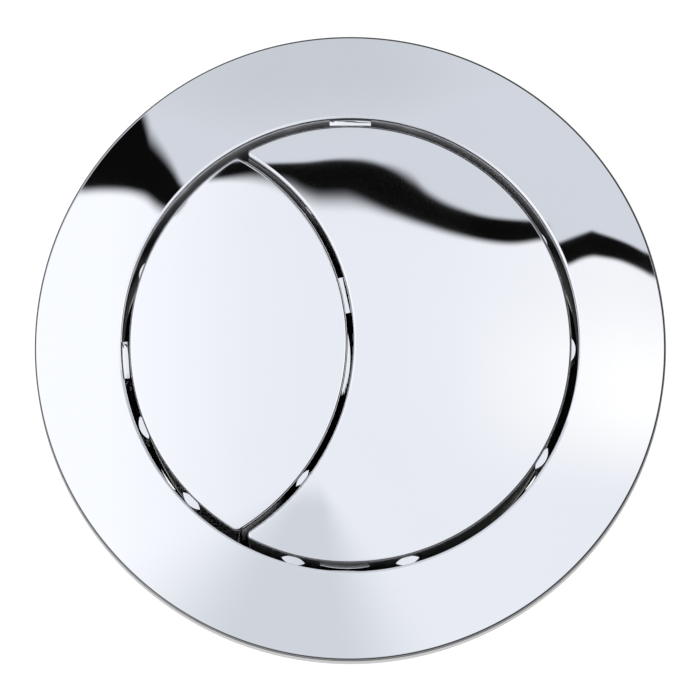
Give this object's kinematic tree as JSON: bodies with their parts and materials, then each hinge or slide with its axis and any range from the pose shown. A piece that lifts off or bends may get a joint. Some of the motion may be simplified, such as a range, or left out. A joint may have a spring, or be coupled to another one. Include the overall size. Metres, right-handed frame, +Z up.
{
  "type": "dual flush cistern push button",
  "caption": "Round chrome push button for a cistern lid, with a lens-shaped half flush button beside a larger full flush button in a domed bezel, sprung plungers and push rods.",
  "frame": {"origin": "centre of the lid's hole, on the plane where the bezel and the gasket sit on the lid", "axes": "+Z up out of the lid, +X from the half flush button to the full flush button"},
  "size_m": [0.073, 0.073, 0.0806],
  "materials": {
    "chrome_plating": "mirror chrome plating on moulded plastic",
    "white_moulding": "moulded plastic, satin",
    "black_moulding": "moulded plastic, satin black",
    "rod_plastic": "moulded plastic, satin",
    "slip_plastic": "low-friction plastic, waxy",
    "spring_steel": "drawn stainless wire and sheet",
    "black_rubber": "matte moulded rubber"
  },
  "bodies": {
    "housing": {"bezel": "chrome_plating", "lid_gasket": "black_rubber", "threaded_sleeve": "white_moulding", "guide_plate": "black_moulding", "front_guide_screw": "spring_steel", "rear_guide_screw": "spring_steel", "half_flush_spring": "spring_steel", "full_flush_spring": "spring_steel"},
    "half_flush": {"half_flush_button": "chrome_plating", "half_flush_plunger": "black_moulding", "half_flush_clip": "spring_steel", "half_flush_rod": "rod_plastic", "half_flush_lock_nut": "white_moulding"},
    "full_flush": {"full_flush_button": "chrome_plating", "full_flush_plunger": "black_moulding", "full_flush_clip": "spring_steel", "full_flush_rod": "rod_plastic", "full_flush_lock_nut": "white_moulding"},
    "slip_ring": {"slip_washer": "slip_plastic"},
    "nut": {"back_nut": "white_moulding"}
  },
  "joints": [
    {"name": "half_flush_press", "type": "slide", "parent": "housing", "child": "half_flush", "axis": [0, 0, -1], "range_m": [0, 0.006], "stiffness_N_per_m": 500, "springref_m": -0.006, "deforming": ["half_flush_spring"]},
    {"name": "full_flush_press", "type": "slide", "parent": "housing", "child": "full_flush", "axis": [0, 0, -1], "range_m": [0, 0.006], "stiffness_N_per_m": 500, "springref_m": -0.006, "deforming": ["full_flush_spring"]},
    {"name": "nut_travel", "type": "slide", "parent": "housing", "child": "slip_ring", "axis": [0, 0, 1], "range_m": [-0.0075, 0.0045]},
    {"name": "nut_turn", "type": "hinge", "parent": "slip_ring", "child": "nut", "pos_m": [0, 0, -0.013], "axis": [0, 0, 1], "range_deg": [-900, 540]}
  ],
  "couplings": [
    {"joint": "nut_turn", "follows": "nut_travel", "rad_per_m": 2094.4}
  ]
}
